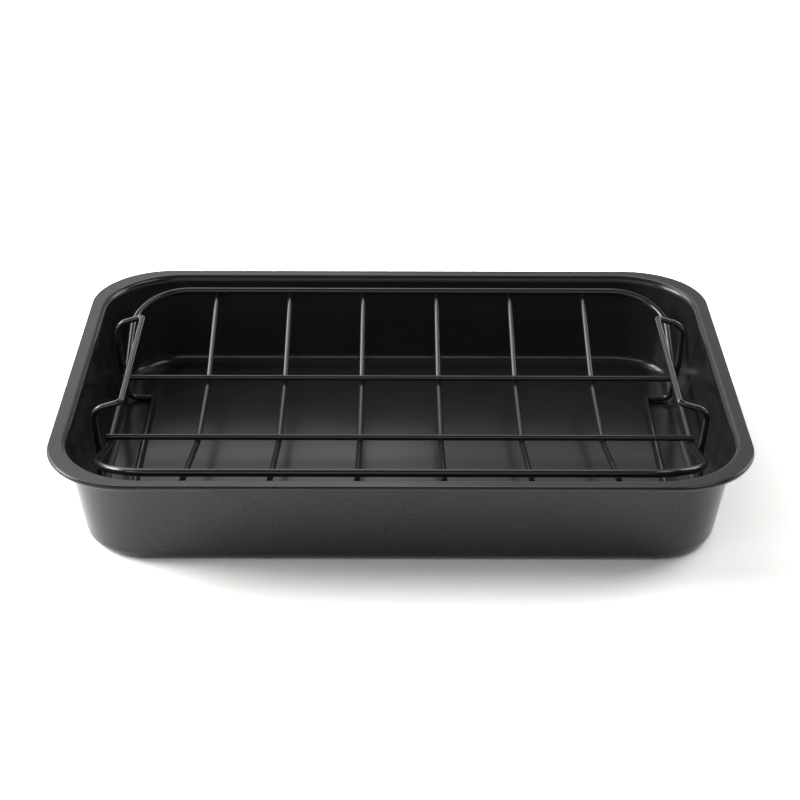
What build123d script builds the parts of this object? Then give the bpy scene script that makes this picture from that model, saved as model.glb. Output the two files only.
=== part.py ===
from build123d import *
import os
from math import atan2, cos, radians, sin, tan

# Roasting pan with a lift-out rack, in millimetres
# The origin is the middle of the pan's underside, +X along the length, +Y to the back, +Z up

os.makedirs("parts", exist_ok=True)

# Pan: one pressed sheet
rim_length = 420.0
rim_depth = 304.0
rim_corner_radius = 52.5
pan_height = 62.5
sheet = 0.8
flange_width = 9.5
mouth_corner_radius = 51.0
wall_taper = 9.4
floor_bend_radius = 8.0
flange_bend_radius = 2.2
bead_radius = 1.65
curl_angle = 270.0

# Wire gauges
frame_wire_diameter = 4.7
grate_wire_diameter = 3.8
handle_wire_diameter = 3.9
weld_depth = 0.35
wire_end_chamfer = 0.4

# Rack in the pan
rack_seat_gap = 0.3
rack_end_clearance = 7.75
rack_side_clearance = 15.6

# Grate: six dished cross wires and two long wires
cross_wire_count = 6
cross_wire_end_gap = 55.28
grate_lift = 27.3
trough_flat_depth = 82.4
trough_rise = 23.35
trough_bend_radius = 30.0
cross_wire_overhang = 5.0
long_wire_overhang = 1.4

# Frame
frame_corner_radius = 37.0
frame_bend_radius = 8.0
frame_bend_offset = 1.4

# Handle loops: grip, arms, legs and foot bar of one wire
handle_span = 121.0
waist_span = 114.0
foot_span = 143.0
grip_lift = 66.2
arm_lift = 60.6
grip_inset = 11.9
arm_overhang = 5.8
foot_overhang = 2.2
foot_bar_inset = 14.5
grip_bend_radius = 3.5
arm_bend_radius = 8.5
waist_bend_radius = 8.0
foot_bend_radius = 6.4
foot_corner_radius = 3.3

# Sizes that follow from those of the pan
wall_slope = tan(radians(wall_taper))
wall_run = pan_height * wall_slope
mouth_length = rim_length - 2 * flange_width
mouth_depth = rim_depth - 2 * flange_width
base_length = mouth_length - 2 * wall_run
floor_margin = wall_run + floor_bend_radius
bead_center_z = pan_height - bead_radius

# Sizes that follow from those of the wires
frame_wire_radius = frame_wire_diameter / 2
grate_wire_radius = grate_wire_diameter / 2
handle_wire_radius = handle_wire_diameter / 2
grate_seat = 2 * grate_wire_radius - weld_depth
frame_seat = frame_wire_radius + grate_wire_radius - weld_depth
leg_seat = frame_wire_radius + handle_wire_radius - weld_depth

# The foot bars stand on the pan's floor and carry the grate
foot_z = sheet + rack_seat_gap + handle_wire_radius
grate_z = foot_z + grate_lift

# Outline of the frame, between wire centres
frame_end_x = base_length / 2 - rack_end_clearance
frame_side_y = mouth_depth / 2 - rack_side_clearance

# Cross wires share out the frame's length, and rise from the flat middle to its long sides
cross_wire_pitch = 2 * (frame_end_x - cross_wire_end_gap) / (cross_wire_count - 1)
trough_bend_y = trough_flat_depth / 2
trough_angle = atan2(trough_rise, frame_side_y - trough_bend_y)
trough_tangent = trough_bend_radius * tan(trough_angle / 2)
cross_end_y = frame_side_y + cross_wire_overhang * cos(trough_angle)
cross_end_z = grate_z + trough_rise + cross_wire_overhang * sin(trough_angle)

# Long wires lie in the bends of the cross wires
seat_radius = trough_bend_radius - grate_seat
long_wire_y = trough_bend_y - trough_tangent + seat_radius * sin(trough_angle / 2)
long_wire_z = grate_z + trough_bend_radius - seat_radius * cos(trough_angle / 2)
long_wire_end_x = frame_end_x + long_wire_overhang

# The frame lies on the cross wires at its long sides and under the long wires at its ends
frame_side_z = grate_z + trough_rise + frame_seat / cos(trough_angle)
frame_end_z = long_wire_z - frame_seat
frame_bend_y = long_wire_y + frame_bend_offset
frame_slope = (frame_side_z - frame_end_z) / (frame_side_y - frame_bend_y)

# Legs are welded at their waist to the outside of the frame's ends
waist_y = waist_span / 2
waist_x = frame_end_x + leg_seat
waist_z = frame_end_z + (waist_y - frame_bend_y) * frame_slope


# Pan
with BuildPart() as pan:
    # Floor bend, tapered wall and start of the flange: one quarter of the way round
    mouth_x = mouth_length / 2
    mouth_y = mouth_depth / 2
    with BuildLine():
        quarter_mouth = FilletPolyline(
            (0, mouth_y), (mouth_x, mouth_y), (mouth_x, 0),
            radius=mouth_corner_radius,
        )
    with BuildSketch(Plane(origin=(0, mouth_y, 0), x_dir=(0, 1, 0), z_dir=(1, 0, 0))):
        with BuildLine():
            FilletPolyline(
                (-floor_margin, 0),
                (-wall_run, 0),
                (-sheet * wall_slope, pan_height - sheet),
                (flange_bend_radius, pan_height - sheet),
                radius=[floor_bend_radius, flange_bend_radius],
            )
            offset(amount=sheet, side=Side.LEFT)
        make_face()
    sweep(path=quarter_mouth)
    # Rolled edge: the sheet curls down and under the flange
    rim_x = rim_length / 2 - bead_radius
    rim_y = rim_depth / 2 - bead_radius
    with BuildLine():
        quarter_rim = FilletPolyline(
            (0, rim_y), (rim_x, rim_y), (rim_x, 0),
            radius=rim_corner_radius - bead_radius,
        )
    with BuildSketch(Plane(origin=(0, rim_y, 0), x_dir=(0, 1, 0), z_dir=(1, 0, 0))):
        with BuildLine():
            CenterArc((0, bead_center_z), bead_radius, 90, -curl_angle)
            offset(amount=sheet, side=Side.RIGHT)
        make_face()
    sweep(path=quarter_rim)
    mirror(about=Plane.YZ)
    mirror(about=Plane.XZ)
    # Flat floor
    with BuildSketch():
        RectangleRounded(
            mouth_length - 2 * floor_margin,
            mouth_depth - 2 * floor_margin,
            mouth_corner_radius - floor_margin,
        )
    extrude(amount=sheet)
    # Flat flange, wider at the corners than along the sides
    with BuildSketch(Plane.XY.offset(pan_height - sheet)):
        RectangleRounded(2 * rim_x, 2 * rim_y, rim_corner_radius - bead_radius)
        RectangleRounded(
            mouth_length + 2 * flange_bend_radius,
            mouth_depth + 2 * flange_bend_radius,
            mouth_corner_radius + flange_bend_radius,
            mode=Mode.SUBTRACT,
        )
    extrude(amount=sheet)
pan.part.label = "pan"
export_step(pan.part, "parts/pan.step")

# Rack frame: half of the outline wire, mirrored to a closed loop
with BuildPart() as rack_frame:
    with BuildLine():
        half_frame = FilletPolyline(
            (0, frame_side_y, frame_side_z),
            (frame_end_x, frame_side_y, frame_side_z),
            (frame_end_x, frame_bend_y, frame_end_z),
            (frame_end_x, -frame_bend_y, frame_end_z),
            (frame_end_x, -frame_side_y, frame_side_z),
            (0, -frame_side_y, frame_side_z),
            radius=[frame_corner_radius, frame_bend_radius, frame_bend_radius, frame_corner_radius],
        )
    with BuildSketch(Plane(origin=half_frame @ 0, z_dir=half_frame % 0)):
        Circle(frame_wire_radius)
    sweep(path=half_frame)
    mirror(about=Plane.YZ)
rack_frame.part.label = "rack_frame"
export_step(rack_frame.part, "parts/rack_frame.step")

# Cross wires, from left to right
for wire_index in range(cross_wire_count):
    wire_x = (wire_index - (cross_wire_count - 1) / 2) * cross_wire_pitch
    with BuildPart() as cross_wire:
        with BuildLine():
            dish = FilletPolyline(
                (wire_x, -cross_end_y, cross_end_z),
                (wire_x, -trough_bend_y, grate_z),
                (wire_x, trough_bend_y, grate_z),
                (wire_x, cross_end_y, cross_end_z),
                radius=trough_bend_radius,
            )
        with BuildSketch(Plane(origin=dish @ 0, z_dir=dish % 0)):
            Circle(grate_wire_radius)
        sweep(path=dish)
        chamfer(cross_wire.faces().sort_by(Axis.Y)[0].edges(), wire_end_chamfer)
        chamfer(cross_wire.faces().sort_by(Axis.Y)[-1].edges(), wire_end_chamfer)
    wire_name = f"cross_wire_{wire_index + 1}"
    cross_wire.part.label = wire_name
    export_step(cross_wire.part, f"parts/{wire_name}.step")

# Long wires
for wire_name, wire_y in (("long_wire_front", -long_wire_y), ("long_wire_rear", long_wire_y)):
    with BuildPart() as long_wire:
        with BuildSketch(Plane.YZ.offset(-long_wire_end_x)):
            with Locations((wire_y, long_wire_z)):
                Circle(grate_wire_radius)
        extrude(amount=2 * long_wire_end_x)
        chamfer(long_wire.faces().sort_by(Axis.X)[0].edges(), wire_end_chamfer)
        chamfer(long_wire.faces().sort_by(Axis.X)[-1].edges(), wire_end_chamfer)
    long_wire.part.label = wire_name
    export_step(long_wire.part, f"parts/{wire_name}.step")

# Handle loops: half of each, from the grip down the leg to the foot bar, mirrored to a closed loop
for loop_name, side in (("handle_loop_left", -1), ("handle_loop_right", 1)):
    with BuildPart() as handle_loop:
        grip_x = side * (frame_end_x - grip_inset)
        arm_x = side * (frame_end_x + arm_overhang)
        foot_x = side * (frame_end_x + foot_overhang)
        bar_x = side * (frame_end_x - foot_bar_inset)
        with BuildLine():
            half_loop = FilletPolyline(
                (grip_x, 0, foot_z + grip_lift),
                (grip_x, handle_span / 2, foot_z + grip_lift),
                (arm_x, handle_span / 2, foot_z + arm_lift),
                (side * waist_x, waist_y, waist_z),
                (foot_x, foot_span / 2, foot_z),
                (bar_x, foot_span / 2, foot_z),
                (bar_x, 0, foot_z),
                radius=[
                    grip_bend_radius,
                    arm_bend_radius,
                    waist_bend_radius,
                    foot_bend_radius,
                    foot_corner_radius,
                ],
            )
        with BuildSketch(Plane(origin=half_loop @ 0, z_dir=half_loop % 0)):
            Circle(handle_wire_radius)
        sweep(path=half_loop)
        mirror(about=Plane.XZ)
    handle_loop.part.label = loop_name
    export_step(handle_loop.part, f"parts/{loop_name}.step")
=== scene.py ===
"""A roasting pan with a lift-out wire rack, dressed and lit for one studio picture.

The scene is in metres, in the frame of the CAD model: the origin is the middle of the
pan's underside, X runs along the pan to the right, Y to the back and Z up. Sizes of
the pan and the rack are written in millimetres, as in the part's own source.
"""

import logging
import math
from dataclasses import dataclass, field
from enum import Enum
from typing import Any, Optional, Sequence

import bmesh
import bpy
from mathutils import Matrix, Vector


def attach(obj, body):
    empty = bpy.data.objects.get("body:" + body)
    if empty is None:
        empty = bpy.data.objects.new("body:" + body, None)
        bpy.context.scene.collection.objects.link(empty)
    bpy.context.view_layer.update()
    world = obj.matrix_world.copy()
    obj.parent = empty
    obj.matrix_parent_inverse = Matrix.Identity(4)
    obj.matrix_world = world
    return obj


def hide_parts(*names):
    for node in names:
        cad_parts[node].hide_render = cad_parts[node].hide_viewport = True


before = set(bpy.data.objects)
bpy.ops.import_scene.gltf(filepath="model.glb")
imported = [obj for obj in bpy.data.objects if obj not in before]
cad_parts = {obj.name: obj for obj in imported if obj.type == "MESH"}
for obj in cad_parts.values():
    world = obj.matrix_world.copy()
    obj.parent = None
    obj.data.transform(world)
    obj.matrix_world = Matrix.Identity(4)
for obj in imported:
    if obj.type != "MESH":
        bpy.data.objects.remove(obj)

LOG = logging.getLogger("roasting_pan")
MM = 0.001
PICTURE_PIXELS = 800.0

# The span that most values of a noise texture lie in
NOISE_LOW = 0.3
NOISE_HIGH = 0.7


# Small tools


class Body(Enum):
    """The bodies that a piece can ride on."""

    PAN = "pan"
    RACK = "rack"


class Slot(Enum):
    """The record's material slots."""

    PAN = "pan_coating"
    RACK = "rack_coating"


def linear(hex_colour: str) -> tuple[float, float, float, float]:
    """Turns an sRGB hex value to linear colour.

    Args:
        hex_colour: six hex digits, with or without a leading hash.

    Returns:
        Red, green and blue as Blender's sockets take them, and an alpha of 1.
    """
    digits = hex_colour.lstrip("#")
    parts = [int(digits[i:i + 2], 16) / 255 for i in (0, 2, 4)]
    red, green, blue = (p / 12.92 if p <= 0.04045 else ((p + 0.055) / 1.055) ** 2.4 for p in parts)
    return red, green, blue, 1.0


def put(tree: bpy.types.NodeTree, kind: str, inputs: Optional[dict[Any, Any]] = None,
        **settings: Any) -> bpy.types.Node:
    """Adds a node with its settings, and sets or links its inputs.

    Args:
        tree: the node tree that gets the node.
        kind: the node's type name.
        inputs: input name or index to a value, or to the output socket that feeds it.
        settings: the node's own properties.

    Returns:
        The new node.
    """
    node = tree.nodes.new(kind)
    for name, value in settings.items():
        setattr(node, name, value)
    for key, value in (inputs or {}).items():
        if isinstance(value, bpy.types.NodeSocket):
            tree.links.new(value, node.inputs[key])
        else:
            node.inputs[key].default_value = value
    return node


def fresh_material(name: str) -> tuple[bpy.types.Material, bpy.types.NodeTree]:
    """Starts a material with an empty node tree.

    Args:
        name: the material's name.

    Returns:
        The material and its tree.
    """
    material = bpy.data.materials.new(name)
    material.use_nodes = True
    tree = material.node_tree
    tree.nodes.clear()
    return material, tree


def mesh_object(name: str, mesh: bpy.types.Mesh) -> bpy.types.Object:
    """Puts a mesh in the scene.

    Args:
        name: the object's name.
        mesh: its mesh, already in place.

    Returns:
        The new object, at the origin.
    """
    item = bpy.data.objects.new(name, mesh)
    bpy.context.scene.collection.objects.link(item)
    return item


def outward(mesh: bpy.types.Mesh) -> None:
    """Turns the faces of a closed mesh outwards and shades them smooth.

    Args:
        mesh: the mesh to change.
    """
    work = bmesh.new()
    work.from_mesh(mesh)
    bmesh.ops.recalc_face_normals(work, faces=work.faces)
    for face in work.faces:
        face.smooth = True
    work.to_mesh(mesh)
    work.free()


def settle(piece: bpy.types.Object, body: Body, nodes: Sequence[str] = ()) -> None:
    """Gives a finished piece to its body and the nodes that it stands for.

    Args:
        piece: the finished object.
        body: the body it rides on.
        nodes: the CAD nodes that it replaces.
    """
    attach(piece, body.value)
    if nodes:
        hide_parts(*nodes)
    LOG.info("%s: %d faces, on %s, for %s", piece.name, len(piece.data.polygons), body.value,
             ", ".join(nodes) or "no node")


# Finishes


@dataclass(frozen=True)
class SheetCoating:
    """PTFE non-stick coating, sprayed on pressed steel sheet and baked.

    A charcoal film with a satin face: it mirrors the room softly at a low angle and
    looks nearly black from above. Spraying leaves a faint orange peel, and baking a
    cloudy change of gloss from place to place.
    """

    name: str = "ptfe_nonstick_on_pressed_steel"
    colour: str = "#1F1F1E"
    worn_colour: str = "#262524"
    fleck_colour: str = "#52504B"
    roughness_low: float = 0.18
    roughness_high: float = 0.22
    ior: float = 1.5
    peel_mm: float = 1.4
    peel_height_mm: float = 0.008
    cloud_mm: float = 55.0
    fleck_mm: float = 0.7
    fleck_edge: float = 0.66
    fleck_core: float = 0.78
    fleck_strength: float = 0.35

    def build(self) -> bpy.types.Material:
        """Builds the material.

        Returns:
            The finished material.
        """
        material, tree = fresh_material(self.name)
        place = put(tree, "ShaderNodeTexCoord").outputs["Object"]
        # The peel of real spray is about this coarse. The flecks are grains of pigment, drawn a few
        # times larger than they are, because finer ones would not show
        peel = put(tree, "ShaderNodeTexNoise",
                   {"Vector": place, "Scale": 1 / (self.peel_mm * MM), "Detail": 2.0, "Roughness": 0.5})
        cloud = put(tree, "ShaderNodeTexNoise",
                    {"Vector": place, "Scale": 1 / (self.cloud_mm * MM), "Detail": 4.0, "Roughness": 0.6})
        fleck = put(tree, "ShaderNodeTexNoise",
                    {"Vector": place, "Scale": 1 / (self.fleck_mm * MM), "Detail": 1.0})
        tone = put(tree, "ShaderNodeMix",
                   {"Factor": cloud.outputs["Fac"], "A": linear(self.colour),
                    "B": linear(self.worn_colour)}, data_type="RGBA")
        grains = put(tree, "ShaderNodeMapRange",
                     {"Value": fleck.outputs["Fac"], "From Min": self.fleck_edge,
                      "From Max": self.fleck_core, "To Min": 0.0, "To Max": self.fleck_strength})
        mixed = put(tree, "ShaderNodeMix",
                    {"Factor": grains.outputs["Result"], "A": tone.outputs["Result"],
                     "B": linear(self.fleck_colour)}, data_type="RGBA")
        gloss = put(tree, "ShaderNodeMapRange",
                    {"Value": cloud.outputs["Fac"], "From Min": NOISE_LOW, "From Max": NOISE_HIGH,
                     "To Min": self.roughness_low, "To Max": self.roughness_high})
        bump = put(tree, "ShaderNodeBump",
                   {"Height": peel.outputs["Fac"], "Strength": 1.0, "Distance": self.peel_height_mm * MM})
        # The clear film gives the gloss and the dark pigment under it the body colour, so the eye
        # sees soft lamps on near-black
        shader = put(tree, "ShaderNodeBsdfPrincipled",
                     {"Base Color": mixed.outputs["Result"], "Roughness": gloss.outputs["Result"],
                      "IOR": self.ior, "Metallic": 0.0, "Normal": bump.outputs["Normal"]})
        put(tree, "ShaderNodeOutputMaterial", {"Surface": shader.outputs["BSDF"]})
        return material


@dataclass(frozen=True)
class WireCoating:
    """Black non-stick coating, sprayed on drawn steel wire after welding.

    Darker and glossier than the pan: the round wire draws each lamp out to a thin
    bright line. The film is a little uneven, which makes the line waver.
    """

    name: str = "black_nonstick_on_drawn_wire"
    colour: str = "#20201F"
    worn_colour: str = "#282726"
    roughness_low: float = 0.13
    roughness_high: float = 0.18
    ior: float = 1.62
    wave_mm: float = 1.6
    wave_height_mm: float = 0.006
    cloud_mm: float = 18.0

    def build(self) -> bpy.types.Material:
        """Builds the material.

        Returns:
            The finished material.
        """
        material, tree = fresh_material(self.name)
        place = put(tree, "ShaderNodeTexCoord").outputs["Object"]
        # The wet film runs a little before it is baked, which leaves low waves along the wire
        wave = put(tree, "ShaderNodeTexNoise",
                   {"Vector": place, "Scale": 1 / (self.wave_mm * MM), "Detail": 2.0})
        cloud = put(tree, "ShaderNodeTexNoise",
                    {"Vector": place, "Scale": 1 / (self.cloud_mm * MM), "Detail": 3.0})
        tone = put(tree, "ShaderNodeMix",
                   {"Factor": cloud.outputs["Fac"], "A": linear(self.colour),
                    "B": linear(self.worn_colour)}, data_type="RGBA")
        gloss = put(tree, "ShaderNodeMapRange",
                    {"Value": cloud.outputs["Fac"], "From Min": NOISE_LOW, "From Max": NOISE_HIGH,
                     "To Min": self.roughness_low, "To Max": self.roughness_high})
        bump = put(tree, "ShaderNodeBump",
                   {"Height": wave.outputs["Fac"], "Strength": 1.0, "Distance": self.wave_height_mm * MM})
        # A denser, smoother film than the pan's: the eye sees a crisp bright line along a black wire
        shader = put(tree, "ShaderNodeBsdfPrincipled",
                     {"Base Color": tone.outputs["Result"], "Roughness": gloss.outputs["Result"],
                      "IOR": self.ior, "Metallic": 0.0, "Normal": bump.outputs["Normal"]})
        put(tree, "ShaderNodeOutputMaterial", {"Surface": shader.outputs["BSDF"]})
        return material


def seen_directly(tree: bpy.types.NodeTree) -> bpy.types.NodeSocket:
    """Tells the rays that show a surface from those that only carry its light on.

    Args:
        tree: the node tree that gets the nodes.

    Returns:
        A value of 1 for the camera, in reflections and through glass, and 0 otherwise.
    """
    ray = put(tree, "ShaderNodeLightPath")
    mirrored = put(tree, "ShaderNodeMath",
                   {0: ray.outputs["Is Glossy Ray"], 1: ray.outputs["Is Transmission Ray"]},
                   operation="MAXIMUM")
    seen = put(tree, "ShaderNodeMath",
               {0: ray.outputs["Is Camera Ray"], 1: mirrored.outputs[0]}, operation="MAXIMUM")
    return seen.outputs[0]


@dataclass(frozen=True)
class StudioPaper:
    """Matt white background paper, uncoated, which shows the pan's soft shadow.

    The camera and reflections see it brighter than it lights the pan, so it comes out white.
    """

    name: str = "white_background_paper"
    colour: str = "#DADAD8"
    seen_gain: float = 2.8

    def build(self) -> bpy.types.Material:
        """Builds the material.

        Returns:
            The finished material.
        """
        material, tree = fresh_material(self.name)
        gain = put(tree, "ShaderNodeMix",
                   {"Factor": seen_directly(tree), "A": 1.0, "B": self.seen_gain}, data_type="FLOAT")
        tone = put(tree, "ShaderNodeVectorMath",
                   {0: linear(self.colour)[:3], "Scale": gain.outputs["Result"]}, operation="SCALE")
        matt = put(tree, "ShaderNodeBsdfDiffuse", {"Color": tone.outputs["Vector"]})
        put(tree, "ShaderNodeOutputMaterial", {"Surface": matt.outputs["BSDF"]})
        return material


@dataclass(frozen=True)
class StudioCloth:
    """White backdrop cloth round the paper. It shows as plain white and gives the pan no light."""

    name: str = "white_backdrop_cloth"
    colour: str = "#FFFFFF"

    def build(self) -> bpy.types.Material:
        """Builds the material.

        Returns:
            The finished material.
        """
        material, tree = fresh_material(self.name)
        glow = put(tree, "ShaderNodeEmission",
                   {"Color": linear(self.colour), "Strength": seen_directly(tree)})
        put(tree, "ShaderNodeOutputMaterial", {"Surface": glow.outputs["Emission"]})
        return material


# The pan


class Outline(Enum):
    """The two rounded rectangles that the pan's profile is measured from."""

    MOUTH = "mouth"
    RIM = "rim"


SectionPoint = tuple[Outline, float, float]


@dataclass
class Pan:
    """The pan, one pressed steel sheet: floor, tapered wall, flange and rolled edge.

    Sizes are in millimetres and angles in degrees. The flange bend is drawn softer than
    in the solid, as the photograph has it. Supports are extra lines beside each bend.
    """

    rim_length: float = 420.0
    rim_depth: float = 304.0
    rim_corner_radius: float = 52.5
    height: float = 62.5
    sheet: float = 0.8
    flange_width: float = 9.5
    mouth_corner_radius: float = 51.0
    wall_taper: float = 9.4
    floor_bend_radius: float = 8.0
    flange_bend_radius: float = 3.6
    bead_radius: float = 1.65
    curl_angle: float = 270.0
    corner_steps: int = 28
    side_steps: int = 6
    floor_bend_steps: int = 12
    flange_under_steps: int = 8
    flange_top_steps: int = 10
    curl_inside_steps: int = 18
    curl_outside_steps: int = 30
    sheet_edge_steps: int = 6
    support: float = 1.2
    floor_supports: float = 4.0
    coating: SheetCoating = field(default_factory=SheetCoating)

    @staticmethod
    def arc(outline: Outline, centre: tuple[float, float], radius: float, start: float,
            end: float, steps: int) -> list[SectionPoint]:
        """Draws an arc of the section.

        Args:
            outline: the rounded rectangle it is measured from.
            centre: its centre, as distance outwards and height.
            radius: its radius.
            start: the angle of its first point, from straight outwards.
            end: the angle of its last point.
            steps: the number of its steps.

        Returns:
            Its points, both ends among them.
        """
        turns = [math.radians(start + (end - start) * i / steps) for i in range(steps + 1)]
        return [(outline, centre[0] + radius * math.cos(turn), centre[1] + radius * math.sin(turn))
                for turn in turns]

    def wall(self, start: float, end: float, inset: float) -> list[SectionPoint]:
        """Draws the straight part of the wall between its two bends.

        Args:
            start: the height of its first point.
            end: the height of its last point.
            inset: the distance inwards from the outer face.

        Returns:
            Its two ends and its middle.
        """
        slope = math.tan(math.radians(self.wall_taper))
        return [(Outline.MOUTH, (height - self.height) * slope - inset, height)
                for height in (start, (start + end) / 2, end)]

    def profile(self) -> list[SectionPoint]:
        """Draws the sheet's section, from the underside round the rolled edge to the floor's top.

        Returns:
            Points as outline, distance outwards from it, and height.
        """
        taper = math.radians(self.wall_taper)
        slope = math.tan(taper)
        run = self.height * slope
        half_turn = (math.pi / 2 - taper) / 2
        foot = self.floor_bend_radius * math.tan(half_turn)
        knee = self.flange_bend_radius * math.tan(half_turn)
        foot_centre = (-run - foot, self.floor_bend_radius)
        under = self.height - self.sheet
        knee_centre = (-self.sheet * slope + knee, under - self.flange_bend_radius)
        bead_centre = (0, self.height - self.bead_radius)
        tilt = self.wall_taper
        curl_end = 90 - self.curl_angle
        inner = self.sheet / math.cos(taper)
        lift = self.floor_bend_radius * (1 - math.sin(taper))
        floor_edge = -run - foot - self.floor_supports * self.support
        flange_start = knee_centre[0] + self.support
        section = [(Outline.MOUTH, floor_edge, 0.0)]
        section += self.arc(Outline.MOUTH, foot_centre, self.floor_bend_radius, -90, -tilt,
                            self.floor_bend_steps)
        section += self.wall(lift + self.support, under - self.flange_bend_radius - self.support, 0.0)
        section += self.arc(Outline.MOUTH, knee_centre, self.flange_bend_radius, 180 - tilt, 90,
                            self.flange_under_steps)
        section.append((Outline.MOUTH, flange_start, under))
        section.append((Outline.RIM, -self.support, under))
        section += self.arc(Outline.RIM, bead_centre, self.bead_radius - self.sheet, 90, curl_end,
                            self.curl_inside_steps)
        turned = math.radians(curl_end)
        middle = self.bead_radius - self.sheet / 2
        tip = (middle * math.cos(turned), bead_centre[1] + middle * math.sin(turned))
        section += self.arc(Outline.RIM, tip, self.sheet / 2, 0, 180, self.sheet_edge_steps)[1:-1]
        section += self.arc(Outline.RIM, bead_centre, self.bead_radius, curl_end, 90,
                            self.curl_outside_steps)
        section.append((Outline.RIM, -self.support, self.height))
        section.append((Outline.MOUTH, flange_start, self.height))
        section += self.arc(Outline.MOUTH, knee_centre, self.flange_bend_radius + self.sheet, 90,
                            180 - tilt, self.flange_top_steps)
        section += self.wall(under - self.flange_bend_radius - 2 * self.support,
                             lift + self.support, inner)
        section += self.arc(Outline.MOUTH, foot_centre, self.floor_bend_radius - self.sheet, -tilt,
                            -90, self.floor_bend_steps)
        section.append((Outline.MOUTH, floor_edge, self.sheet))
        return section

    def ring(self, outline: Outline, out: float, height: float) -> list[Vector]:
        """Makes one closed line round the pan.

        Args:
            outline: the rounded rectangle it is measured from.
            out: the distance outwards from that.
            height: its height.

        Returns:
            Its points in metres, anticlockwise.
        """
        if outline is Outline.MOUTH:
            half_x = self.rim_length / 2 - self.flange_width
            half_y = self.rim_depth / 2 - self.flange_width
            corner = self.mouth_corner_radius
        else:
            half_x = self.rim_length / 2 - self.bead_radius
            half_y = self.rim_depth / 2 - self.bead_radius
            corner = self.rim_corner_radius - self.bead_radius
        half_x, half_y, corner = half_x + out, half_y + out, corner + out
        quarters = []
        for turn, (sign_x, sign_y) in enumerate(((1, 1), (-1, 1), (-1, -1), (1, -1))):
            centre = Vector((sign_x * (half_x - corner), sign_y * (half_y - corner), height))
            for i in range(self.corner_steps + 1):
                angle = math.pi / 2 * (turn + i / self.corner_steps)
                quarters.append(centre + corner * Vector((math.cos(angle), math.sin(angle), 0)))
        points: list[Vector] = []
        size = self.corner_steps + 1
        for turn in range(4):
            points += quarters[turn * size:(turn + 1) * size]
            last, first = points[-1], quarters[((turn + 1) % 4) * size]
            points += [last.lerp(first, i / self.side_steps) for i in range(1, self.side_steps)]
        return [point * MM for point in points]

    def build(self) -> bpy.types.Object:
        """Builds the pan as one closed sheet.

        Returns:
            The pan's object.
        """
        work = bmesh.new()
        rings = [[work.verts.new(point) for point in self.ring(*stop)] for stop in self.profile()]
        for lower, upper in zip(rings, rings[1:]):
            count = len(lower)
            for i in range(count):
                j = (i + 1) % count
                work.faces.new((lower[i], lower[j], upper[j], upper[i]))
        work.faces.new(list(reversed(rings[0])))
        work.faces.new(rings[-1])
        mesh = bpy.data.meshes.new("pan_sheet")
        work.to_mesh(mesh)
        work.free()
        outward(mesh)
        mesh.materials.append(self.coating.build())
        return mesh_object("pan_sheet", mesh)

    def dress(self) -> None:
        """Builds the pan and gives it to its body."""
        settle(self.build(), Body.PAN, ["pan"])


# Wire work


@dataclass
class WirePath:
    """The centre line of one bent wire: its corners and the radius of the bend at each.

    Sizes are in millimetres. An open wire has no bend at its first and last corner, and
    both its ends are chamfered.
    """

    corners: Sequence[tuple[float, float, float]]
    radii: Sequence[float]
    closed: bool = False
    end_chamfer: float = 0.4
    degrees_per_step: float = 5.0
    fewest_steps: int = 3

    def chamfered(self, end: Vector, corner: Vector) -> Vector:
        """Finds where the chamfer of an open end starts.

        Args:
            end: the wire's end.
            corner: the corner next to it.

        Returns:
            The point on the centre line where the wire has its whole thickness.
        """
        return end.lerp(corner, self.end_chamfer / (corner - end).length)

    def points(self) -> list[Vector]:
        """Works out the centre line, with its bends.

        Returns:
            Its points in millimetres, from one end to the other or once round.
        """
        corners = [Vector(corner) for corner in self.corners]
        count = len(corners)
        line: list[Vector] = []
        bends = range(count) if self.closed else range(1, count - 1)
        if not self.closed:
            line += [corners[0], self.chamfered(corners[0], corners[1])]
        for index, radius in zip(bends, self.radii):
            here, before, after = corners[index], corners[index - 1], corners[(index + 1) % count]
            back, ahead = (before - here).normalized(), (after - here).normalized()
            opening = back.angle(ahead)
            turn = math.pi - opening
            centre = here + (back + ahead).normalized() * (radius / math.sin(opening / 2))
            start = here + back * (radius / math.tan(opening / 2)) - centre
            end = here + ahead * (radius / math.tan(opening / 2)) - centre
            steps = max(self.fewest_steps, round(math.degrees(turn) / self.degrees_per_step))
            for i in range(steps + 1):
                part = turn * i / steps
                spoke = (start * math.sin(turn - part) + end * math.sin(part)) / math.sin(turn)
                line.append(centre + spoke)
        if not self.closed:
            line += [self.chamfered(corners[-1], corners[-2]), corners[-1]]
        return line


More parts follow.
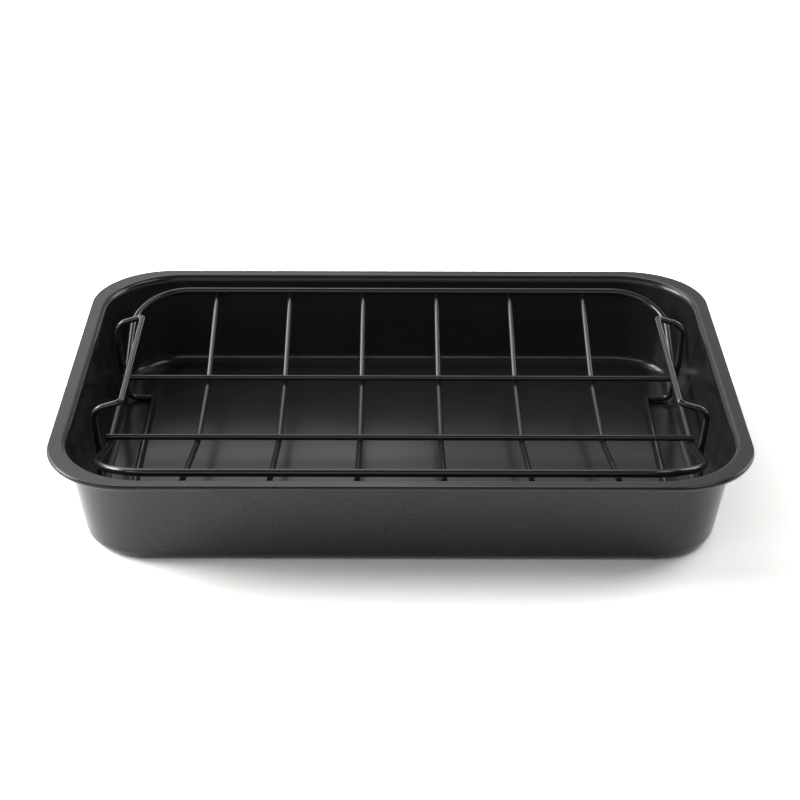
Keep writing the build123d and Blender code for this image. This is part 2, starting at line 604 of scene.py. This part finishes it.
@dataclass
class WireBender:
    """Sweeps a round wire along a path, with one Geometry Nodes tree for every wire of the rack."""

    sides: int = 24
    tree: Optional[bpy.types.NodeTree] = None

    def grow(self) -> bpy.types.NodeTree:
        """Builds the tree on its first use.

        Returns:
            The tree: path in, swept wire out.
        """
        if self.tree:
            return self.tree
        tree = bpy.data.node_groups.new("bent_wire", "GeometryNodeTree")
        for name, kind in (("Path", "NodeSocketGeometry"), ("Wire radius", "NodeSocketFloat"),
                           ("Sides", "NodeSocketInt"), ("Coating", "NodeSocketMaterial")):
            tree.interface.new_socket(name, in_out="INPUT", socket_type=kind)
        tree.interface.new_socket("Wire", in_out="OUTPUT", socket_type="NodeSocketGeometry")
        source = put(tree, "NodeGroupInput")
        line = put(tree, "GeometryNodeMeshToCurve", {"Mesh": source.outputs["Path"]})
        taper = put(tree, "GeometryNodeInputNamedAttribute", {"Name": "thickness"}, data_type="FLOAT")
        sized = put(tree, "GeometryNodeSetCurveRadius",
                    {"Curve": line.outputs["Curve"], "Radius": taper.outputs["Attribute"]})
        section = put(tree, "GeometryNodeCurvePrimitiveCircle",
                      {"Resolution": source.outputs["Sides"], "Radius": source.outputs["Wire radius"]})
        swept = put(tree, "GeometryNodeCurveToMesh",
                    {"Curve": sized.outputs["Curve"], "Profile Curve": section.outputs["Curve"],
                     "Fill Caps": True})
        real = put(tree, "GeometryNodeRealizeInstances", {"Geometry": swept.outputs["Mesh"]})
        coated = put(tree, "GeometryNodeSetMaterial",
                     {"Geometry": real.outputs["Geometry"], "Material": source.outputs["Coating"]})
        put(tree, "NodeGroupOutput", {"Wire": coated.outputs["Geometry"]})
        self.tree = tree
        return tree

    def bend(self, name: str, path: WirePath, diameter: float,
             coating: bpy.types.Material) -> bpy.types.Object:
        """Makes one wire.

        Args:
            name: the piece's name.
            path: its centre line.
            diameter: the wire's diameter in millimetres.
            coating: its material.

        Returns:
            The wire as a plain mesh object.
        """
        points = path.points()
        count = len(points)
        edges = [(i, i + 1) for i in range(count - 1)]
        if path.closed:
            edges.append((count - 1, 0))
        mesh = bpy.data.meshes.new(name)
        mesh.from_pydata([point * MM for point in points], edges, [])
        thickness = mesh.attributes.new("thickness", "FLOAT", "POINT")
        end = 1.0 if path.closed else 1 - 2 * path.end_chamfer / diameter
        for index, item in enumerate(thickness.data):
            item.value = end if index in (0, count - 1) else 1.0
        piece = mesh_object(name, mesh)
        bake(piece, self.grow(),
             {"Wire radius": diameter / 2 * MM, "Sides": self.sides, "Coating": coating})
        return piece


@dataclass
class Welder:
    """Squeezes a small bead of metal out at each crossing of two wires, with a Geometry Nodes tree.

    Spread and height are the bead's half sizes in millimetres, across and along the line
    from wire to wire.
    """

    spread: float = 1.9
    height: float = 0.75
    roundness: int = 3

    def grow(self) -> bpy.types.NodeTree:
        """Builds the tree.

        Returns:
            The tree: crossings in, one bead on each out.
        """
        tree = bpy.data.node_groups.new("weld_beads", "GeometryNodeTree")
        for name, kind in (("Crossings", "NodeSocketGeometry"), ("Spread", "NodeSocketFloat"),
                           ("Height", "NodeSocketFloat"), ("Coating", "NodeSocketMaterial")):
            tree.interface.new_socket(name, in_out="INPUT", socket_type=kind)
        tree.interface.new_socket("Beads", in_out="OUTPUT", socket_type="NodeSocketGeometry")
        source = put(tree, "NodeGroupInput")
        facing = put(tree, "GeometryNodeInputNamedAttribute", {"Name": "facing"},
                     data_type="FLOAT_VECTOR")
        turn = put(tree, "FunctionNodeAlignRotationToVector", {"Vector": facing.outputs["Attribute"]},
                   axis="Z")
        ball = put(tree, "GeometryNodeMeshIcoSphere", {"Radius": 1.0, "Subdivisions": self.roundness})
        scale = put(tree, "ShaderNodeCombineXYZ",
                    {"X": source.outputs["Spread"], "Y": source.outputs["Spread"],
                     "Z": source.outputs["Height"]})
        beads = put(tree, "GeometryNodeInstanceOnPoints",
                    {"Points": source.outputs["Crossings"], "Instance": ball.outputs["Mesh"],
                     "Rotation": turn.outputs["Rotation"], "Scale": scale.outputs["Vector"]})
        real = put(tree, "GeometryNodeRealizeInstances", {"Geometry": beads.outputs["Instances"]})
        coated = put(tree, "GeometryNodeSetMaterial",
                     {"Geometry": real.outputs["Geometry"], "Material": source.outputs["Coating"]})
        put(tree, "NodeGroupOutput", {"Beads": coated.outputs["Geometry"]})
        return tree

    def weld(self, name: str, crossings: Sequence[tuple[Vector, Vector]],
             coating: bpy.types.Material) -> bpy.types.Object:
        """Makes the beads.

        Args:
            name: the piece's name.
            crossings: the place of each bead in millimetres, and the direction from wire to wire.
            coating: its material.

        Returns:
            The beads as one plain mesh object.
        """
        mesh = bpy.data.meshes.new(name)
        mesh.from_pydata([place * MM for place, _ in crossings], [], [])
        facing = mesh.attributes.new("facing", "FLOAT_VECTOR", "POINT")
        for item, (_, direction) in zip(facing.data, crossings):
            item.vector = direction
        piece = mesh_object(name, mesh)
        bake(piece, self.grow(),
             {"Spread": self.spread * MM, "Height": self.height * MM, "Coating": coating})
        return piece


def bake(piece: bpy.types.Object, tree: bpy.types.NodeTree, inputs: dict[str, Any]) -> None:
    """Runs a Geometry Nodes tree on a piece and keeps its result as a plain mesh.

    Args:
        piece: the object that carries the tree's input, which is changed.
        tree: the tree to run.
        inputs: the tree's named inputs.
    """
    modifier = piece.modifiers.new("shape", "NODES")
    modifier.node_group = tree
    sockets = {item.name: item.identifier for item in tree.interface.items_tree
               if item.in_out == "INPUT"}
    for name, value in inputs.items():
        modifier[sockets[name]] = value
    bpy.context.view_layer.update()
    graph = bpy.context.evaluated_depsgraph_get()
    mesh = bpy.data.meshes.new_from_object(piece.evaluated_get(graph), depsgraph=graph)
    piece.modifiers.remove(modifier)
    piece.data = mesh
    mesh.name = piece.name
    for attribute in [item for item in mesh.attributes if item.name in ("thickness", "facing")]:
        mesh.attributes.remove(attribute)
    outward(mesh)


# The rack


@dataclass
class Rack:
    """The rack, eleven wires welded together. Sizes in millimetres, from the pan's floor up."""

    pan: Pan = field(default_factory=Pan)
    frame_wire: float = 4.7
    grate_wire: float = 3.8
    handle_wire: float = 3.9
    weld_depth: float = 0.35
    seat_gap: float = 0.3
    end_clearance: float = 7.75
    side_clearance: float = 15.6
    cross_wire_count: int = 6
    cross_wire_end_gap: float = 55.28
    grate_lift: float = 27.3
    trough_flat_depth: float = 82.4
    trough_rise: float = 23.35
    trough_bend_radius: float = 30.0
    cross_wire_overhang: float = 5.0
    long_wire_overhang: float = 1.4
    frame_corner_radius: float = 37.0
    frame_bend_radius: float = 8.0
    frame_bend_offset: float = 1.4
    handle_span: float = 121.0
    waist_span: float = 114.0
    foot_span: float = 143.0
    grip_lift: float = 66.2
    arm_lift: float = 60.6
    grip_inset: float = 11.9
    arm_overhang: float = 5.8
    foot_overhang: float = 2.2
    foot_bar_inset: float = 14.5
    grip_bend_radius: float = 3.5
    arm_bend_radius: float = 8.5
    waist_bend_radius: float = 8.0
    foot_bend_radius: float = 6.4
    foot_corner_radius: float = 3.3
    coating: WireCoating = field(default_factory=WireCoating)
    bender: WireBender = field(default_factory=WireBender)
    welder: Welder = field(default_factory=Welder)

    def __post_init__(self) -> None:
        """Works out where the wires lie on each other, as the part's own source does."""
        pan = self.pan
        run = pan.height * math.tan(math.radians(pan.wall_taper))
        mouth_length = pan.rim_length - 2 * pan.flange_width
        mouth_depth = pan.rim_depth - 2 * pan.flange_width
        self.foot_z = pan.sheet + self.seat_gap + self.handle_wire / 2
        self.grate_z = self.foot_z + self.grate_lift
        self.end_x = mouth_length / 2 - run - self.end_clearance
        self.side_y = mouth_depth / 2 - self.side_clearance
        self.bend_y = self.trough_flat_depth / 2
        self.slope = math.atan2(self.trough_rise, self.side_y - self.bend_y)
        seat = self.trough_bend_radius - (self.grate_wire - self.weld_depth)
        arc_y = self.bend_y - self.trough_bend_radius * math.tan(self.slope / 2)
        self.long_y = arc_y + seat * math.sin(self.slope / 2)
        self.long_z = self.grate_z + self.trough_bend_radius - seat * math.cos(self.slope / 2)
        frame_seat = (self.frame_wire + self.grate_wire) / 2 - self.weld_depth
        self.side_z = self.grate_z + self.trough_rise + frame_seat / math.cos(self.slope)
        self.end_z = self.long_z - frame_seat
        self.frame_bend_y = self.long_y + self.frame_bend_offset
        self.frame_slope = (self.side_z - self.end_z) / (self.side_y - self.frame_bend_y)
        self.waist_y = self.waist_span / 2
        self.waist_x = self.end_x + (self.frame_wire + self.handle_wire) / 2 - self.weld_depth
        self.waist_z = self.end_z + (self.waist_y - self.frame_bend_y) * self.frame_slope

    def frame_path(self) -> WirePath:
        """Draws the outline wire: high along both sides, dipping at both ends.

        Returns:
            Its centre line.
        """
        x, y, bend, high, low = self.end_x, self.side_y, self.frame_bend_y, self.side_z, self.end_z
        corners = [(x, -bend, low), (x, bend, low), (x, y, high), (-x, y, high),
                   (-x, bend, low), (-x, -bend, low), (-x, -y, high), (x, -y, high)]
        bends, turns = self.frame_bend_radius, self.frame_corner_radius
        return WirePath(corners, [bends, bends, turns, turns, bends, bends, turns, turns], closed=True)

    def cross_places(self) -> list[float]:
        """Shares the cross wires out along the frame.

        Returns:
            The place of each along the pan, from left to right.
        """
        outer = self.end_x - self.cross_wire_end_gap
        gaps = self.cross_wire_count - 1
        return [outer * (2 * i / gaps - 1) for i in range(self.cross_wire_count)]

    def cross_path(self, x: float) -> WirePath:
        """Draws one dished wire from front to back.

        Args:
            x: its place along the pan.

        Returns:
            Its centre line.
        """
        end_y = self.side_y + self.cross_wire_overhang * math.cos(self.slope)
        end_z = self.grate_z + self.trough_rise + self.cross_wire_overhang * math.sin(self.slope)
        corners = [(x, -end_y, end_z), (x, -self.bend_y, self.grate_z),
                   (x, self.bend_y, self.grate_z), (x, end_y, end_z)]
        return WirePath(corners, [self.trough_bend_radius] * 2)

    def long_path(self, side: int) -> WirePath:
        """Draws one straight wire along the rack.

        Args:
            side: -1 for the front one, 1 for the rear one.

        Returns:
            Its centre line.
        """
        end, y = self.end_x + self.long_wire_overhang, side * self.long_y
        return WirePath([(-end, y, self.long_z), (end, y, self.long_z)], [])

    def loop_path(self, side: int) -> WirePath:
        """Draws one end's closed wire: grip, arms, legs and foot bar.

        Args:
            side: -1 for the left one, 1 for the right one.

        Returns:
            Its centre line.
        """
        grip, arm = side * (self.end_x - self.grip_inset), side * (self.end_x + self.arm_overhang)
        foot, bar = side * (self.end_x + self.foot_overhang), side * (self.end_x - self.foot_bar_inset)
        half = [(grip, self.handle_span / 2, self.foot_z + self.grip_lift),
                (arm, self.handle_span / 2, self.foot_z + self.arm_lift),
                (side * self.waist_x, self.waist_y, self.waist_z),
                (foot, self.foot_span / 2, self.foot_z),
                (bar, self.foot_span / 2, self.foot_z)]
        radii = [self.grip_bend_radius, self.arm_bend_radius, self.waist_bend_radius,
                 self.foot_bend_radius, self.foot_corner_radius]
        other = [(x, -y, z) for x, y, z in reversed(half)]
        return WirePath(half + other, radii + radii[::-1], closed=True)

    def crossings(self) -> list[tuple[Vector, Vector]]:
        """Lists the welds.

        Returns:
            The place of each weld, and the direction from the lower wire to the upper one.
        """
        depth = self.weld_depth / 2
        welds: list[tuple[Vector, Vector]] = []
        tilt = self.slope / 2
        for side in (-1, 1):
            lean = Vector((0, -side * math.sin(tilt), math.cos(tilt)))
            rise = Vector((0, -side * math.sin(self.slope), math.cos(self.slope)))
            for x in self.cross_places():
                wire = Vector((x, side * self.long_y, self.long_z))
                welds.append((wire - lean * (self.grate_wire / 2 - depth), lean))
                wire = Vector((x, side * self.side_y, self.side_z))
                welds.append((wire - rise * (self.frame_wire / 2 - depth), rise))
            for end in (-1, 1):
                wire = Vector((end * self.end_x, side * self.long_y, self.end_z))
                welds.append((wire + Vector((0, 0, self.frame_wire / 2 - depth)), Vector((0, 0, 1))))
                wire = Vector((end * self.end_x, side * self.waist_y, self.waist_z))
                reach = Vector((end * (self.frame_wire / 2 - depth), 0, 0))
                welds.append((wire + reach, Vector((end, 0, 0))))
        return welds

    def dress(self) -> None:
        """Builds every wire and weld, and gives them to the rack's body."""
        coat = self.coating.build()
        wire = self.bender.bend("frame_wire", self.frame_path(), self.frame_wire, coat)
        settle(wire, Body.RACK, ["rack_frame"])
        for number, x in enumerate(self.cross_places(), 1):
            wire = self.bender.bend(f"dished_wire_{number}", self.cross_path(x), self.grate_wire, coat)
            settle(wire, Body.RACK, [f"cross_wire_{number}"])
        for name, side in (("front", -1), ("rear", 1)):
            wire = self.bender.bend(f"straight_wire_{name}", self.long_path(side), self.grate_wire, coat)
            settle(wire, Body.RACK, [f"long_wire_{name}"])
        for name, side in (("left", -1), ("right", 1)):
            wire = self.bender.bend(f"grip_and_foot_{name}", self.loop_path(side), self.handle_wire, coat)
            settle(wire, Body.RACK, [f"handle_loop_{name}"])
        settle(self.welder.weld("weld_beads", self.crossings(), coat), Body.RACK)


# The studio


@dataclass(frozen=True)
class Lamp:
    """One soft box, aimed at the pan.

    Azimuth is in degrees from the back of the pan, to the right, elevation in degrees
    from the floor, lengths in metres, and a brightness of 1 is white.
    """

    name: str
    azimuth: float
    elevation: float
    width: float
    height: float
    brightness: float
    distance: float = 2.4

    def hang(self) -> None:
        """Adds the lamp to the scene."""
        data = bpy.data.lights.new(self.name, "AREA")
        data.shape = "RECTANGLE"
        data.size, data.size_y = self.width, self.height
        data.energy = self.brightness * math.pi * self.width * self.height
        lamp = bpy.data.objects.new(self.name, data)
        bpy.context.scene.collection.objects.link(lamp)
        around, above = math.radians(self.azimuth), math.radians(self.elevation)
        away = Vector((math.sin(around) * math.cos(above), math.cos(around) * math.cos(above),
                       math.sin(above)))
        lamp.location = away * self.distance
        lamp.rotation_euler = (-away).to_track_quat("-Z", "Y").to_euler()


@dataclass
class Studio:
    """The camera, the paper, the backdrop, the lamps and the light of the room.

    Lengths are in metres, apart from the camera's sensor, which is in millimetres, and
    angles in degrees. The cloth's line is its section: radius and height.
    """

    focal_pixels: float = 1993.34
    sensor: float = 36.0
    place: tuple[float, float, float] = (-0.004642, -1.135079, 0.636988)
    pitch: float = 27.845
    yaw: float = 0.229
    roll: float = 0.236
    centre_drop_pixels: float = 2.40
    clip_near: float = 0.05
    clip_far: float = 60.0
    paper_half: float = 1.7
    paper_height: float = -0.0002
    paper: StudioPaper = field(default_factory=StudioPaper)
    cloth_line: tuple[tuple[float, float], ...] = ((1.5, -0.004), (8.0, -0.004), (9.0, 1.9))
    cloth_sides: int = 64
    cloth: StudioCloth = field(default_factory=StudioCloth)
    rear_level: float = 0.12
    front_level: float = 0.05
    room_front: float = -0.3
    room_rear: float = 1.0
    lamps: tuple[Lamp, ...] = (
        Lamp("soft_box_left", 277, 30, 1.2, 0.95, 12.3),
        Lamp("soft_box_rear_left", 305, 31, 1.6, 1.0, 3.8),
        Lamp("soft_box_left_top", 300, 53, 1.6, 0.5, 2.0),
        Lamp("soft_box_front_left", 233, 33, 0.6, 0.7, 2.5),
        Lamp("soft_box_front", 195, 38, 2.2, 0.9, 1.0),
        Lamp("soft_box_rear", 347, 50, 1.7, 0.65, 2.6),
        Lamp("soft_box_rear_low_left", 337, 32, 1.8, 0.9, 1.0),
        Lamp("soft_box_rear_low_right", 20, 31, 1.6, 0.9, 0.48),
        Lamp("soft_box_right", 60, 30, 1.3, 1.2, 3.4),
        Lamp("soft_box_right_top", 95, 62, 1.4, 0.8, 2.4),
    )

    def camera(self) -> None:
        """Adds the camera at the photograph's place and angle."""
        pitch, yaw, roll = (math.radians(angle) for angle in (self.pitch, self.yaw, self.roll))
        ahead = Vector((math.sin(yaw) * math.cos(pitch), math.cos(yaw) * math.cos(pitch),
                        -math.sin(pitch)))
        right = ahead.cross(Vector((0, 0, 1))).normalized()
        up = right.cross(ahead)
        side = right * math.cos(roll) + up * math.sin(roll)
        top = up * math.cos(roll) - right * math.sin(roll)
        data = bpy.data.cameras.new("camera")
        data.sensor_width = self.sensor
        data.lens = self.focal_pixels / PICTURE_PIXELS * self.sensor
        data.shift_y = self.centre_drop_pixels / PICTURE_PIXELS
        data.clip_start, data.clip_end = self.clip_near, self.clip_far
        camera = bpy.data.objects.new("camera", data)
        bpy.context.scene.collection.objects.link(camera)
        turn = Matrix((side, top, -ahead)).transposed().to_4x4()
        camera.matrix_world = Matrix.Translation(Vector(self.place)) @ turn
        bpy.context.scene.camera = camera

    def floor(self) -> None:
        """Lays the white paper that the pan stands on."""
        half, low = self.paper_half, self.paper_height
        mesh = bpy.data.meshes.new("paper_floor")
        mesh.from_pydata([(-half, -half, low), (half, -half, low), (half, half, low), (-half, half, low)],
                         [], [(0, 1, 2, 3)])
        mesh.materials.append(self.paper.build())
        mesh_object("paper_floor", mesh)

    def backdrop(self) -> None:
        """Lays the white cloth on from the paper and up all round the studio."""
        sides = self.cloth_sides
        points = [(radius * math.cos(math.tau * i / sides), radius * math.sin(math.tau * i / sides),
                   height) for radius, height in self.cloth_line for i in range(sides)]
        faces = []
        for low in range(0, sides * (len(self.cloth_line) - 1), sides):
            for i in range(sides):
                j = (i + 1) % sides
                faces.append((i + low, j + low, j + low + sides, i + low + sides))
        mesh = bpy.data.meshes.new("backdrop_cloth")
        mesh.from_pydata(points, [], faces)
        mesh.materials.append(self.cloth.build())
        mesh_object("backdrop_cloth", mesh)

    def room_light(self) -> None:
        """Sets the dim light of the room, a little brighter behind the pan."""
        world = bpy.data.worlds.new("studio")
        world.use_nodes = True
        tree = world.node_tree
        tree.nodes.clear()
        place = put(tree, "ShaderNodeTexCoord").outputs["Generated"]
        way = put(tree, "ShaderNodeSeparateXYZ", {"Vector": place})
        room = put(tree, "ShaderNodeMapRange",
                   {"Value": way.outputs["Y"], "From Min": self.room_front,
                    "From Max": self.room_rear, "To Min": self.front_level,
                    "To Max": self.rear_level}, interpolation_type="SMOOTHSTEP")
        sky = put(tree, "ShaderNodeBackground", {"Color": (1, 1, 1, 1), "Strength": room.outputs["Result"]})
        put(tree, "ShaderNodeOutputWorld", {"Surface": sky.outputs["Background"]})
        bpy.context.scene.world = world

    def build(self) -> None:
        """Sets up the whole studio."""
        self.camera()
        self.floor()
        self.backdrop()
        self.room_light()
        for lamp in self.lamps:
            lamp.hang()
        bpy.context.scene.view_settings.view_transform = "Standard"


def main() -> None:
    """Builds the object and the studio."""
    logging.basicConfig(level=logging.INFO, format="%(name)s: %(message)s")
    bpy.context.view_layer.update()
    pan = Pan()
    pan.dress()
    Rack(pan=pan).dress()
    Studio().build()


if __name__ == "__main__":
    main()
